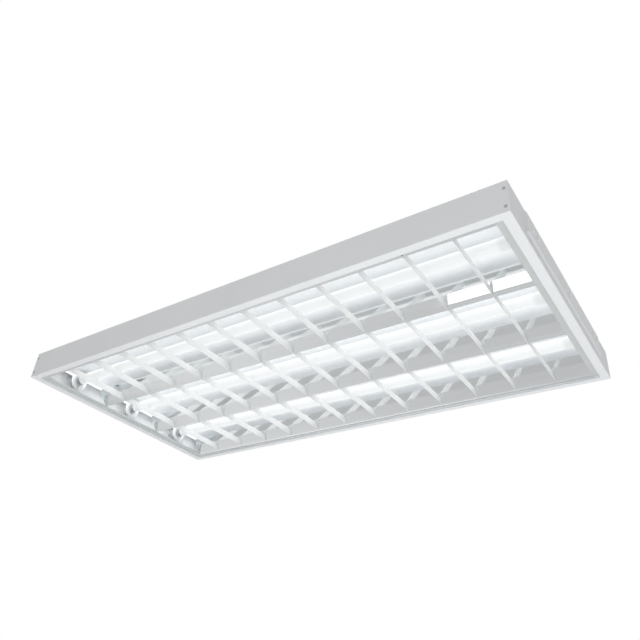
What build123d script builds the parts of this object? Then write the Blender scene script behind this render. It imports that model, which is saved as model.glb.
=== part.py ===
from build123d import *
from math import atan, degrees
import os

# Recessed louvre light for three straight fluorescent lamps, seen as it hangs in a ceiling.
# Millimetres. X runs along the lamps, Y across them, Z up. The origin is the centre of the
# lower face, which is level with the ceiling.

# ---------------------------------------------------------------- housing sizes
body_length = 1243.0
body_width = 618.0
body_height = 68.0
steel = 0.8
bend_radius = 1.2
end_flange_width = 18.0
side_flange_width = 15.5
flange_lip = 6.0
seam_gap = 0.2

# raised panel pressed out of each end plate, around the backs of the lampholders
panel_past_lamp = 42.0
panel_below_lamp = 25.3
panel_above_lamp = 23.7
panel_depth = 3.3
panel_flank = 3.6

tab_width = 14.0
tab_inset = 4.0
top_tab_width = 8.0

rivet_from_corner = 6.5
rivet_low = 13.0
rivet_high = 52.0
rivet_head_radius = 3.2
rivet_head = 1.1
rivet_radius = 1.6
rivet_bore = 0.9
rivet_tail_radius = 2.4
rivet_tail = 1.2

hanging_from_end = 171.5
hanging_from_side = 84.0
hanging_hole_radius = 3.5

clip_slot_length = 3.0
clip_slot_height = 1.6
clip_slot_drop = 2.0
clip_slot_from_end = 62.0
clip_slot_spacing = 15.0

# ---------------------------------------------------------------- lamps and lampholders
lamp_spacing = 188.0
lamp_below_top = 25.7
tube_diameter = 26.0
glass_wall = 0.8
cap_length = 15.0
cap_wall = 0.7
cap_floor = 2.0
pin_diameter = 2.35
pin_length = 7.1
pin_spacing = 12.7

holder_from_end = 21.5
base_gap = 0.3
running_gap = 0.08
press_gap = 0.05
loose_gap = 0.3

tongue_width = 46.0
tongue_below_lamp = 26.3
cover_above_lamp = 4.2
cover_flange = 12.0
cover_past_lamp = 33.0

holder_radius = 13.5
holder_width = 33.0
holder_above_lamp = 16.7
nose_radius = 11.0
rotor_radius = 8.4
rotor_depth = 9.0
rotor_floor = 1.6
entry_slot = 3.2
lug_spacing = 27.0
lug_width = 5.4
lug_height = 7.5
lug_below_lamp = 1.5
lug_stand_out = 1.7
lug_boss = 2.0
contact_thickness = 0.5
contact_height = 7.0
contact_length = 6.0

# ---------------------------------------------------------------- louvre sizes
louvre_gap = 1.0
louvre_rise = 5.0
mirror_sheet = 0.5
side_lip = 11.5
end_lip = 13.0
end_upturn = 3.0
# mirror face from its lower edge: how far back and how high each bend lies
facet_backs = (0.0, 7.2, 21.8, 29.3)
facet_rises = (0.0, 7.7, 21.8, 38.5)
mirror_return = 5.0
blade_count = 12
blade_end_bay = 78.0
blade_sheet = 0.6
blade_height = 16.5
blade_gap = 0.3
neck_low = 7.0
neck_high = 14.0
neck_reach = 2.0
slot_gap = 0.15

# ---------------------------------------------------------------- hinges and latches
hinge_from_end = 161.5
hinge_from_edge = 5.5
hinge_rise = 4.5
hinge_pin_radius = 1.5
hinge_pin_head_radius = 2.3
hinge_pin_head = 0.8
knuckle_radius = 3.2
knuckle_length = 18.0
ear_sheet = 2.0
ear_margin = 1.05
ear_arm_low = 16.0
ear_arm_high = 30.0
bracket_length = 32.0
bracket_sheet = 1.5

latch_from_end = 201.5
latch_width = 14.0
latch_length = 8.0
latch_thickness = 1.6
latch_hold = 3.0
latch_travel = 4.5
latch_above_lip = 0.4
latch_side_gap = 0.1
latch_tab_width = 2.4
latch_tab_length = 2.2
latch_tab_from_edge = 0.6
guide_wall = 1.5
guide_roof = 1.0

# ---------------------------------------------------------------- control gear and wiring
gear_length = 360.0
gear_width = 30.0
gear_height = 21.0
gear_sheet = 0.7
gear_foot = 14.0
gear_from_side = 24.0
board_sheet = 1.6
board_margin = 1.3
board_above_cover = 4.0
board_end_gap = 6.0
post_radius = 2.0
choke_length = 46.0
choke_width = 20.0
choke_height = 10.0
capacitor_radius = 4.5
capacitor_length = 22.0
capacitor_sink = 0.6
small_part = 5.0
small_part_pitch = 12.0
small_part_count = 9
screw_radius = 1.9
screw_head_radius = 3.6
screw_head = 2.4
screw_slot = 0.8
terminal_from_gear = 70.0
terminal_length = 34.0
terminal_width = 14.0
terminal_height = 16.0
terminal_bore = 1.3
clamp_radius = 1.4
lead_radius = 1.1
lead_pitch = 4.2
lead_insert = 4.0
inlet_from_terminal = 80.0
inlet_radius = 10.0
grommet_bore = 4.5
grommet_overlap = 3.0
grommet_flange = 1.5
earth_from_terminal = 40.0
earth_radius = 2.0
earth_washer_radius = 4.5
earth_nut_radius = 4.0
earth_nut = 3.2
earth_stud = 8.0
loom_radius = 2.5
loom_bend = 9.0
loom_from_gear = 10.5
loom_behind_cover = 10.0
tap_radius = 1.5
clip_width = 6.0
clip_wall = 1.0
clip_gap = 0.1
clip_from_foot = 20.0
clip_from_cover = 60.0
clip_count = 3

# ---------------------------------------------------------------- worked out from the above
half_length = body_length / 2
half_width = body_width / 2
face_in = half_length - steel
side_in = half_width - steel
top_in = body_height - steel
opening_x = half_length - end_flange_width
opening_y = half_width - side_flange_width
hanging_length = body_length - 2 * hanging_from_end
hanging_width = body_width - 2 * hanging_from_side

lamp_height = body_height - lamp_below_top
lamp_rows = (-lamp_spacing, 0.0, lamp_spacing)
holder_face = half_length - holder_from_end
base_face = holder_face - base_gap
holder_start = holder_face + steel
holder_end = face_in + panel_depth
holder_top = lamp_height + holder_above_lamp
lug_z = lamp_height - lug_below_lamp
tube_radius = tube_diameter / 2
cap_start = base_face - cap_length

louvre_x = opening_x - louvre_gap
louvre_y = opening_y - louvre_gap
mirror_x = louvre_x - end_lip
mirror_y = louvre_y - side_lip
lip_top = louvre_rise + mirror_sheet
ridge_rows = (-lamp_spacing / 2, lamp_spacing / 2)
blade_span = 2 * (mirror_x - blade_end_bay)
blade_pitch = blade_span / (blade_count - 1)
blade_places = [number * blade_pitch - blade_span / 2 for number in range(blade_count)]
neck_middle = louvre_rise + (neck_low + neck_high) / 2

hinge_from_centre = half_length - hinge_from_end
hinge_y = louvre_y - hinge_from_edge
hinge_z = louvre_rise + hinge_rise
latch_from_centre = half_length - latch_from_end
latch_outer = opening_y + latch_hold
latch_bottom = flange_lip + latch_above_lip
latch_notch = latch_tab_from_edge + latch_tab_length + latch_travel + loose_gap

gear_y = -(side_in - gear_from_side)
gear_end = gear_length / 2
foot_centre = gear_end + gear_foot / 2
terminal_centre = gear_end + terminal_from_gear
earth_centre = terminal_centre + earth_from_terminal
inlet_centre = terminal_centre + inlet_from_terminal
lead_z = top_in - terminal_height / 2
loom_y = gear_y - loom_from_gear
loom_z = holder_top + loose_gap + loom_radius
ends = (-1, 1)

os.makedirs("parts", exist_ok=True)


def save(piece, name):
    """Name a finished piece and write its file."""
    piece.part.label = name
    export_step(piece.part, f"parts/{name}.step")


def save_mirrored(piece, name):
    """Write the copy of a right-hand piece that belongs at the left-hand end."""
    with BuildPart() as opposite:
        mirror(piece.part, about=Plane.YZ)
    save(opposite, name)


def sheet_outline(path, thickness):
    """Closed outline of a bent sheet: the path is one face, the other lies to its left."""
    points = [Vector(*point) for point in path]
    runs = [(b - a).normalized() for a, b in zip(points, points[1:])]
    normals = [Vector(-run.Y, run.X) for run in runs]
    other_face = []
    for point, before, after in zip(points, normals[:1] + normals, normals + normals[-1:]):
        mitre = (before + after) / (1 + before.dot(after))
        other_face.append(point + mitre * thickness)
    return points + other_face[::-1]


def facets(edge_y, towards):
    """Points up one mirror face, which leans towards -Y (-1) or +Y (1) as it rises."""
    return [
        (edge_y + towards * back, louvre_rise + rise)
        for back, rise in zip(facet_backs, facet_rises)
    ]


def facet_back(rise):
    """How far back the mirror face lies at a height above its lower edge."""
    bends = list(zip(facet_backs, facet_rises))
    for (low_back, low_rise), (high_back, high_rise) in zip(bends, bends[1:]):
        if rise <= high_rise:
            break
    return low_back + (high_back - low_back) * (rise - low_rise) / (high_rise - low_rise)


# ================================================================ housing
# Tray: one bent sheet makes the top, both long sides and the long flanges with their lips.
with BuildPart() as housing_tray:
    with BuildSketch(Plane.YZ):
        with Locations((0, body_height / 2)):
            outside = Rectangle(body_width, body_height)
        fillet(outside.vertices(), bend_radius)
        with Locations((0, body_height / 2)):
            Rectangle(2 * side_in, body_height - 2 * steel, mode=Mode.SUBTRACT)
        Rectangle(2 * opening_y, 2 * steel, align=(Align.CENTER, Align.MIN), mode=Mode.SUBTRACT)
        with Locations((-opening_y - steel / 2, 0), (opening_y + steel / 2, 0)):
            Rectangle(steel, flange_lip, align=(Align.CENTER, Align.MIN))
    extrude(amount=face_in, both=True)
    # the long flanges are cut to a mitre where they meet the end flanges
    with BuildSketch(Plane.XY):
        for x_side in ends:
            for y_side in ends:
                with BuildLine():
                    Polyline(
                        (x_side * (face_in + seam_gap), y_side * side_in),
                        (x_side * (face_in - seam_gap), y_side * side_in),
                        (x_side * (opening_x - seam_gap), y_side * opening_y),
                        (x_side * (face_in + seam_gap), y_side * opening_y),
                        close=True,
                    )
                make_face()
    extrude(amount=flange_lip, mode=Mode.SUBTRACT)
    # hanging holes, mains inlet, and the holes for the gear, terminal and earth screws
    with BuildSketch(Plane.XY.offset(top_in)):
        with GridLocations(hanging_length, hanging_width, 2, 2):
            Circle(hanging_hole_radius)
        with Locations((inlet_centre, gear_y)):
            Circle(inlet_radius)
        with Locations((-foot_centre, gear_y), (foot_centre, gear_y), (terminal_centre, gear_y)):
            Circle(screw_radius + press_gap)
        with Locations((earth_centre, gear_y)):
            Circle(earth_radius + press_gap)
    extrude(amount=steel, mode=Mode.SUBTRACT)
    # rivet holes, and the small slots that ceiling clips hook into
    with BuildSketch(Plane.XZ):
        for x_side in ends:
            rivet_x = x_side * (half_length - rivet_from_corner)
            with Locations((rivet_x, rivet_low), (rivet_x, rivet_high)):
                Circle(rivet_radius + press_gap)
            slot_x = x_side * (half_length - clip_slot_from_end + clip_slot_spacing / 2)
            with Locations((slot_x, body_height - clip_slot_drop)):
                with GridLocations(clip_slot_spacing, 1, 2, 1):
                    Rectangle(clip_slot_length, clip_slot_height)
    extrude(amount=body_width, both=True, mode=Mode.SUBTRACT)
save(housing_tray, "housing_tray")

# End plate: pressed sheet with its own flange and lip, tabs that are riveted to the tray, a
# raised panel, and a pair of slots for the lugs of each lampholder.
panel_width = 2 * (lamp_spacing + panel_past_lamp)
panel_height = panel_below_lamp + panel_above_lamp
panel_z = lamp_height + (panel_above_lamp - panel_below_lamp) / 2
panel_taper = degrees(atan(panel_flank / panel_depth))

with BuildPart() as end_plate:
    with BuildSketch(Plane.YZ.offset(face_in)):
        with Locations((0, body_height / 2)):
            face = Rectangle(body_width, body_height)
        fillet(face.vertices(), bend_radius)
    extrude(amount=steel)
    with BuildSketch(Plane.YZ.offset(half_length)):
        with Locations((0, panel_z)):
            Rectangle(panel_width, panel_height)
    extrude(amount=panel_depth, taper=panel_taper)
    with BuildSketch(Plane.YZ.offset(face_in)):
        with Locations((0, panel_z)):
            Rectangle(panel_width, panel_height)
    extrude(amount=panel_depth, taper=panel_taper, mode=Mode.SUBTRACT)
    with BuildSketch(Plane.YZ.offset(face_in)):
        for row in lamp_rows:
            with Locations((row, lug_z)):
                with GridLocations(lug_spacing, 1, 2, 1):
                    Rectangle(lug_width + 2 * slot_gap, lug_height + 2 * slot_gap)
    extrude(amount=2 * steel + panel_depth, mode=Mode.SUBTRACT)
    # flange and lip, mitred at the corners
    with BuildSketch(Plane.XY):
        with BuildLine():
            Polyline(
                (face_in, -side_in),
                (face_in, side_in),
                (opening_x, opening_y),
                (opening_x, -opening_y),
                close=True,
            )
        make_face()
    extrude(amount=steel)
    with BuildSketch(Plane.XY):
        with BuildLine():
            Polyline(
                (opening_x + steel, -opening_y - steel),
                (opening_x + steel, opening_y + steel),
                (opening_x, opening_y),
                (opening_x, -opening_y),
                close=True,
            )
        make_face()
    extrude(amount=flange_lip)
    # tabs inside the long sides, and one under the top
    with BuildSketch(Plane.YZ.offset(face_in)):
        with Locations((0, body_height / 2)):
            with GridLocations(2 * side_in - steel, 1, 2, 1):
                Rectangle(steel, body_height - 2 * (tab_inset + steel))
    extrude(amount=-tab_width)
    with BuildSketch(Plane.YZ.offset(face_in)):
        with Locations((0, top_in - steel / 2)):
            Rectangle(body_width - 4 * tab_width, steel)
    extrude(amount=-top_tab_width)
    with BuildSketch(Plane.XZ):
        rivet_x = half_length - rivet_from_corner
        with Locations((rivet_x, rivet_low), (rivet_x, rivet_high)):
            Circle(rivet_radius + press_gap)
    extrude(amount=body_width, both=True, mode=Mode.SUBTRACT)
save(end_plate, "end_plate_right")
save_mirrored(end_plate, "end_plate_left")

# Blind rivets: domed head outside, hollow shank through side and tab, upset tail inside.
with BuildPart() as rivet:
    with BuildSketch(Plane.XZ):
        with BuildLine():
            Polyline(
                (rivet_head_radius, 0),
                (rivet_radius, 0),
                (rivet_radius, -2 * steel),
                (rivet_tail_radius, -2 * steel),
                (rivet_tail_radius, -2 * steel - rivet_tail),
                (rivet_bore, -2 * steel - rivet_tail),
                (rivet_bore, rivet_head),
            )
            ThreePointArc(
                (rivet_bore, rivet_head),
                (rivet_head_radius * 0.8, rivet_head * 0.6),
                (rivet_head_radius, 0),
            )
        make_face()
    revolve(axis=Axis.Z)

with BuildPart() as corner_rivets:
    for x_side in ends:
        for y_side in ends:
            for height in (rivet_low, rivet_high):
                seat = Plane(
                    origin=(x_side * rivet_x, y_side * half_width, height),
                    x_dir=(1, 0, 0),
                    z_dir=(0, y_side, 0),
                )
                with Locations(seat):
                    add(rivet.part)
save(corner_rivets, "corner_rivets")

# Lampholder cover: a strip across the box with a round-ended tongue at each lamp. The nose of
# the lampholder fills the hole, the pins pass up the slot, and the fold carries it on the top.
tongue_radius = tongue_width / 2
tongue_centre = lamp_height - tongue_below_lamp + tongue_radius
cover_bottom = lamp_height + cover_above_lamp
cover_top = top_in - steel
loom_notch = 2 * (loom_radius + clip_wall)

with BuildPart() as lampholder_cover:
    with BuildSketch(Plane.YZ.offset(holder_face)):
        with Locations((0, cover_bottom)):
            Rectangle(
                2 * (side_in - steel - loose_gap),
                cover_top - cover_bottom,
                align=(Align.CENTER, Align.MIN),
            )
        for row in lamp_rows:
            with Locations((row, tongue_centre)):
                Circle(tongue_radius)
                Rectangle(
                    tongue_width,
                    cover_bottom - tongue_centre,
                    align=(Align.CENTER, Align.MIN),
                )
            with Locations((row, lamp_height)):
                Circle(nose_radius + slot_gap, mode=Mode.SUBTRACT)
                Rectangle(
                    entry_slot,
                    body_height,
                    align=(Align.CENTER, Align.MAX),
                    mode=Mode.SUBTRACT,
                )
        with Locations((loom_y, loom_z - loom_notch / 2)):
            Rectangle(loom_notch, body_height, align=(Align.CENTER, Align.MIN), mode=Mode.SUBTRACT)
    extrude(amount=steel)
    with BuildSketch(Plane.XY.offset(cover_top)):
        with Locations((holder_face, 0)):
            Rectangle(
                cover_flange,
                2 * (lamp_spacing + cover_past_lamp),
                align=(Align.MIN, Align.CENTER),
            )
    extrude(amount=steel)
save(lampholder_cover, "lampholder_cover_right")
save_mirrored(lampholder_cover, "lampholder_cover_left")


# Lampholder: a moulded body between cover and end plate, with a round nose, a bore for the
# rotor, a slot for the pins to rise through, contact pockets, and two lugs in the end plate.
def build_lampholder(row):
    with BuildPart() as holder:
        with BuildSketch(Plane.YZ.offset(holder_start)):
            with Locations((row, lamp_height)):
                Circle(holder_radius)
                Rectangle(2 * holder_radius, holder_above_lamp, align=(Align.CENTER, Align.MIN))
            with Locations((row, lug_z)):
                Rectangle(holder_width, lug_height + 2 * lug_boss)
        extrude(amount=holder_end - holder_start)
        with BuildSketch(Plane.YZ.offset(holder_face)):
            with Locations((row, lamp_height)):
                Circle(nose_radius)
        extrude(amount=steel)
        with BuildSketch(Plane.YZ.offset(holder_face)):
            with Locations((row, lamp_height)):
                Circle(rotor_radius + running_gap)
                Rectangle(entry_slot, body_height, align=(Align.CENTER, Align.MAX))
        extrude(amount=rotor_depth + loose_gap, mode=Mode.SUBTRACT)
        with BuildSketch(Plane.YZ.offset(holder_face + rotor_depth - contact_length)):
            with Locations((row, lamp_height)):
                Rectangle(
                    2 * (rotor_radius + running_gap + contact_thickness + slot_gap),
                    contact_height + 2 * slot_gap,
                )
        extrude(amount=contact_length + slot_gap, mode=Mode.SUBTRACT)
        with BuildSketch(Plane.YZ.offset(holder_end)):
            with Locations((row, lug_z)):
                with GridLocations(lug_spacing, 1, 2, 1):
                    Rectangle(lug_width, lug_height)
        extrude(amount=steel + lug_stand_out)
    return holder


for number, row in enumerate(lamp_rows, start=1):
    lampholder = build_lampholder(row)
    save(lampholder, f"lampholder_right_{number}")
    save_mirrored(lampholder, f"lampholder_left_{number}")

# Contact springs: a brass leaf on each side of every rotor.
with BuildPart() as lamp_contacts:
    leaf_x = holder_face + rotor_depth - contact_length / 2
    leaf_y = rotor_radius + running_gap + contact_thickness / 2
    with Locations((0, 0, lamp_height)):
        with GridLocations(2 * leaf_x, lamp_spacing, 2, len(lamp_rows)):
            with GridLocations(1, 2 * leaf_y, 1, 2):
                Box(contact_length, contact_thickness, contact_height)
save(lamp_contacts, "lamp_contacts")


# ================================================================ lamps
# Each lamp is turned a quarter turn to lock it. Its pins lie level when it is locked.
def build_tube(row):
    """Glass tube, drawn in at both ends to fit inside the caps."""
    neck_end = cap_start + cap_length - cap_floor - press_gap
    neck_radius = tube_radius - cap_wall - press_gap
    with BuildPart() as tube:
        with BuildSketch(Plane.YZ):
            with Locations((row, lamp_height)):
                Circle(tube_radius)
        extrude(amount=cap_start, both=True)
        with BuildSketch(Plane.YZ):
            with Locations((row, lamp_height)):
                Circle(neck_radius)
        extrude(amount=neck_end, both=True)
        with BuildSketch(Plane.YZ):
            with Locations((row, lamp_height)):
                Circle(neck_radius - glass_wall)
        extrude(amount=neck_end - glass_wall, both=True, mode=Mode.SUBTRACT)
    return tube


def build_caps(row):
    """Drawn aluminium caps, each with two holes for its pins."""
    with BuildPart() as caps:
        for x_side in ends:
            with BuildSketch(Plane.YZ.offset(x_side * cap_start)):
                with Locations((row, lamp_height)):
                    Circle(tube_radius)
            extrude(amount=x_side * cap_length)
            with BuildSketch(Plane.YZ.offset(x_side * cap_start)):
                with Locations((row, lamp_height)):
                    Circle(tube_radius - cap_wall)
            extrude(amount=x_side * (cap_length - cap_floor), mode=Mode.SUBTRACT)
            with BuildSketch(Plane.YZ.offset(x_side * cap_start)):
                with Locations((row, lamp_height)):
                    with GridLocations(pin_spacing, 1, 2, 1):
                        Circle(pin_diameter / 2 + press_gap)
            extrude(amount=x_side * cap_length, mode=Mode.SUBTRACT)
    return caps


def build_pins(row):
    """Two brass pins at each end."""
    with BuildPart() as pins:
        for x_side in ends:
            with BuildSketch(Plane.YZ.offset(x_side * (cap_start + cap_length - cap_floor))):
                with Locations((row, lamp_height)):
                    with GridLocations(pin_spacing, 1, 2, 1):
                        Circle(pin_diameter / 2)
            extrude(amount=x_side * (cap_floor + pin_length))
    return pins


def build_rotors(row):
    """Slotted discs that turn with the pins inside the lampholders."""
    with BuildPart() as rotors:
        for x_side in ends:
            with BuildSketch(Plane.YZ.offset(x_side * holder_face)):
                with Locations((row, lamp_height)):
                    Circle(rotor_radius)
            extrude(amount=x_side * rotor_depth)
            with BuildSketch(Plane.YZ.offset(x_side * holder_face)):
                with Locations((row, lamp_height)):
                    Rectangle(2 * rotor_radius, pin_diameter + 2 * slot_gap)
            extrude(amount=x_side * (rotor_depth - rotor_floor), mode=Mode.SUBTRACT)
    return rotors


for number, row in enumerate(lamp_rows, start=1):
    save(build_tube(row), f"lamp_{number}_tube")
    save(build_caps(row), f"lamp_{number}_caps")
    save(build_pins(row), f"lamp_{number}_pins")
    save(build_rotors(row), f"lamp_{number}_rotors")

# ================================================================ louvre
# The slots that the cross blades pass through, the same in every mirror.
with BuildSketch(Plane.XZ) as blade_slots:
    with Locations((0, neck_middle)):
        with GridLocations(blade_pitch, 1, blade_count, 1):
            Rectangle(blade_sheet + 2 * slot_gap, neck_high - neck_low + 2 * slot_gap)

# Side mirrors: a flat lip outside, three flats up beside the lamp, and a stiffening return.
with BuildPart() as side_mirror:
    with BuildSketch(Plane.YZ):
        with BuildLine():
            rising = facets(mirror_y, -1)
            top_y, top_z = rising[-1]
            mirror_path = [(louvre_y, louvre_rise)] + rising + [(top_y + mirror_return, top_z)]
            Polyline(*sheet_outline(mirror_path[::-1], mirror_sheet), close=True)
        make_face()
    extrude(amount=mirror_x, both=True)
    extrude(blade_slots.sketch, amount=body_width, both=True, mode=Mode.SUBTRACT)
save(side_mirror, "side_mirror_far")

with BuildPart() as side_mirror_near:
    mirror(side_mirror.part, about=Plane.XZ)
    # notches in the lip, where the latch tabs are reached
    with BuildSketch(Plane.XY.offset(louvre_rise)):
        with Locations((0, -louvre_y)):
            with GridLocations(2 * latch_from_centre, 1, 2, 1):
                Rectangle(
                    latch_tab_width + 2 * loose_gap,
                    latch_notch,
                    align=(Align.CENTER, Align.MIN),
                )
    extrude(amount=mirror_sheet, mode=Mode.SUBTRACT)
save(side_mirror_near, "side_mirror_near")

# V mirrors: both faces folded from one sheet, with a return along each top edge.
for number, ridge in enumerate(ridge_rows, start=1):
    with BuildPart() as v_mirror:
        with BuildSketch(Plane.YZ):
            with BuildLine():
                falling = facets(ridge, -1)[::-1]
                rising = facets(ridge, 1)[1:]
                first_return = (falling[0][0] + mirror_return, falling[0][1])
                last_return = (rising[-1][0] - mirror_return, rising[-1][1])
                v_path = [first_return] + falling + rising + [last_return]
                Polyline(*sheet_outline(v_path, mirror_sheet), close=True)
            make_face()
        extrude(amount=mirror_x, both=True)
        extrude(blade_slots.sketch, amount=body_width, both=True, mode=Mode.SUBTRACT)
    save(v_mirror, f"v_mirror_{number}")

# End rails: a flat strip across each end, turned up along both edges. The mirrors butt on it.
with BuildPart() as louvre_rail:
    with BuildSketch(Plane.XZ):
        with BuildLine():
            rail_path = [
                (mirror_x, louvre_rise + end_upturn),
                (mirror_x, louvre_rise),
                (louvre_x, louvre_rise),
                (louvre_x, louvre_rise + end_upturn),
            ]
            Polyline(*sheet_outline(rail_path, steel), close=True)
        make_face()
    extrude(amount=louvre_y, both=True)
save(louvre_rail, "louvre_rail_right")
save_mirrored(louvre_rail, "louvre_rail_left")


# Cross blades: white strips through all three bays, necked where they pass the mirrors.
def bay_corners(edge, towards):
    """Side of a blade in one bay, from its lower edge up, clear of the mirror."""
    rises = (blade_gap, facet_rises[1], blade_height)
    return [(edge + towards * (facet_back(rise) + blade_gap), louvre_rise + rise) for rise in rises]


bay_edges = (-mirror_y, ridge_rows[0], ridge_rows[1], mirror_y)
neck_span = 2 * (mirror_y - facet_back(neck_low) + neck_reach)

for number, place in enumerate(blade_places, start=1):
    with BuildPart() as cross_blade:
        with BuildSketch(Plane.YZ.offset(place - blade_sheet / 2)):
            for low_edge, high_edge in zip(bay_edges, bay_edges[1:]):
                with BuildLine():
                    falling = bay_corners(high_edge, -1)[::-1]
                    Polyline(*bay_corners(low_edge, 1), *falling, close=True)
                make_face()
            with Locations((0, neck_middle)):
                Rectangle(neck_span, neck_high - neck_low)
        extrude(amount=blade_sheet)
    save(cross_blade, f"cross_blade_{number:02d}")

# ================================================================ hinges
# Two hinges over the far lip. Each bracket's arms reach out from the side wall and come down
# on the pin from above, so that the lip can swing up beside them.
ear_half = hinge_pin_radius + press_gap + ear_margin
ear_middle = knuckle_length / 2 + loose_gap + ear_sheet / 2
bracket_face = side_in - bracket_sheet

with BuildPart() as hinge_brackets:
    for x_side in ends:
        hinge_x = x_side * hinge_from_centre
        with BuildSketch(Plane.XZ.offset(-bracket_face)):
            with Locations((hinge_x, ear_arm_low)):
                Rectangle(
                    bracket_length,
                    ear_arm_high - ear_arm_low,
                    align=(Align.CENTER, Align.MIN),
                )
        extrude(amount=-bracket_sheet)
        for ear_side in ends:
            with BuildSketch(Plane.YZ.offset(hinge_x + ear_side * ear_middle)):
                with BuildLine():
                    Polyline(
                        (bracket_face, ear_arm_high),
                        (hinge_y - ear_half, ear_arm_high),
                        (hinge_y - ear_half, hinge_z - ear_half),
                        (hinge_y + ear_half, hinge_z - ear_half),
                        (hinge_y + ear_half, ear_arm_low),
                        (bracket_face, ear_arm_low),
                        close=True,
                    )
                make_face()
                with Locations((hinge_y, hinge_z)):
                    Circle(hinge_pin_radius + press_gap, mode=Mode.SUBTRACT)
            extrude(amount=ear_sheet / 2, both=True)
save(hinge_brackets, "hinge_brackets")

pin_half = ear_middle + ear_sheet / 2
with BuildPart() as hinge_pins:
    for x_side in ends:
        hinge_x = x_side * hinge_from_centre
        with BuildSketch(Plane.YZ.offset(hinge_x)):
            with Locations((hinge_y, hinge_z)):
                Circle(hinge_pin_radius)
        extrude(amount=pin_half + hinge_pin_head, both=True)
        with BuildSketch(Plane.YZ.offset(hinge_x + x_side * pin_half)):
            with Locations((hinge_y, hinge_z)):
                Circle(hinge_pin_head_radius)
        extrude(amount=x_side * hinge_pin_head)
save(hinge_pins, "hinge_pins")

# Knuckles: barrels on the louvre's far lip that turn on the pins.
with BuildPart() as louvre_knuckles:
    for x_side in ends:
        with BuildSketch(Plane.YZ.offset(x_side * hinge_from_centre)):
            with Locations((hinge_y, hinge_z)):
                Circle(knuckle_radius)
                Rectangle(2 * knuckle_radius, hinge_z - lip_top, align=(Align.CENTER, Align.MAX))
                Circle(hinge_pin_radius + running_gap, mode=Mode.SUBTRACT)
        extrude(amount=knuckle_length / 2, both=True)
save(louvre_knuckles, "louvre_knuckles")

# ================================================================ latches
# Spring latches on the near lip. Each slide reaches over the lip of the flange, and a small
# tab in the louvre's lip draws it back.
slide_inner = latch_outer - latch_length
tab_outer = louvre_y - latch_tab_from_edge
for side_name, x_side in (("left", -1), ("right", 1)):
    with BuildPart() as latch:
        with BuildSketch(Plane.XY.offset(latch_bottom)):
            with Locations((x_side * latch_from_centre, -latch_outer)):
                slide = Rectangle(latch_width, latch_length, align=(Align.CENTER, Align.MIN))
            fillet(slide.vertices().group_by(Axis.Y)[0], latch_thickness)
        extrude(amount=latch_thickness)
        with BuildSketch(Plane.XY.offset(louvre_rise)):
            with Locations((x_side * latch_from_centre, -tab_outer)):
                Rectangle(latch_tab_width, latch_tab_length, align=(Align.CENTER, Align.MIN))
        extrude(amount=latch_bottom - louvre_rise)
    save(latch, f"latch_{side_name}")

window_width = latch_width + 2 * latch_side_gap
window_low = latch_bottom - latch_side_gap
window_high = latch_bottom + latch_thickness + latch_side_gap
guide_length = latch_notch + latch_side_gap

with BuildPart() as latch_guides:
    for x_side in ends:
        guide_x = x_side * latch_from_centre
        with BuildSketch(Plane.XZ.offset(louvre_y)):
            with Locations((guide_x, lip_top)):
                Rectangle(
                    window_width + 2 * guide_wall,
                    window_high + guide_roof - lip_top,
                    align=(Align.CENTER, Align.MIN),
                )
            with Locations((guide_x, window_low)):
                Rectangle(
                    window_width,
                    window_high - window_low,
                    align=(Align.CENTER, Align.MIN),
                    mode=Mode.SUBTRACT,
                )
        extrude(amount=-guide_length)
        # the floor is notched like the lip below it
        with BuildSketch(Plane.XY.offset(lip_top)):
            with Locations((guide_x, -louvre_y)):
                Rectangle(
                    latch_tab_width + 2 * loose_gap,
                    latch_notch,
                    align=(Align.CENTER, Align.MIN),
                )
        extrude(amount=window_low - lip_top, mode=Mode.SUBTRACT)
save(latch_guides, "latch_guides")

# ================================================================ control gear
# Sheet case under the top, above the near side mirror, with a foot at each end.
cover_in = top_in - gear_height + gear_sheet
case_floor = top_in - gear_sheet

with BuildPart() as gear_case:
    with BuildSketch(Plane.YZ):
        with Locations((gear_y, cover_in)):
            Rectangle(gear_width, top_in - cover_in, align=(Align.CENTER, Align.MIN))
            Rectangle(
                gear_width - 2 * gear_sheet,
                case_floor - cover_in,
                align=(Align.CENTER, Align.MIN),
                mode=Mode.SUBTRACT,
            )
    extrude(amount=gear_end, both=True)
    with BuildSketch(Plane.XY.offset(case_floor)):
        with Locations((0, gear_y)):
            Rectangle(gear_length + 2 * gear_foot, gear_width)
            with GridLocations(2 * foot_centre, 1, 2, 1):
                Circle(screw_radius + press_gap, mode=Mode.SUBTRACT)
    extrude(amount=gear_sheet)
save(gear_case, "gear_case")

with BuildPart() as gear_cover:
    with BuildSketch(Plane.XY.offset(cover_in - gear_sheet)):
        with Locations((0, gear_y)):
            Rectangle(gear_length, gear_width)
    extrude(amount=gear_sheet)
    for x_side in ends:
        with BuildSketch(Plane.YZ.offset(x_side * gear_end)):
            with Locations((gear_y, cover_in)):
                Rectangle(
                    gear_width - 2 * (gear_sheet + press_gap),
                    case_floor - press_gap - cover_in,
                    align=(Align.CENTER, Align.MIN),
                )
            with Locations((loom_y, loom_z)):
                Circle(loom_radius + loose_gap, mode=Mode.SUBTRACT)
        extrude(amount=-x_side * gear_sheet)
    with BuildSketch(Plane.YZ.offset(gear_end)):
        with Locations((gear_y, lead_z)):
            with GridLocations(lead_pitch, 1, 3, 1):
                Circle(lead_radius + loose_gap)
    extrude(amount=-gear_sheet, mode=Mode.SUBTRACT)
save(gear_cover, "gear_cover")

board_bottom = cover_in + board_above_cover
board_top = board_bottom + board_sheet
board_length = gear_length - 2 * (gear_sheet + board_end_gap)
board_width = gear_width - 2 * (gear_sheet + board_margin)

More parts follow.
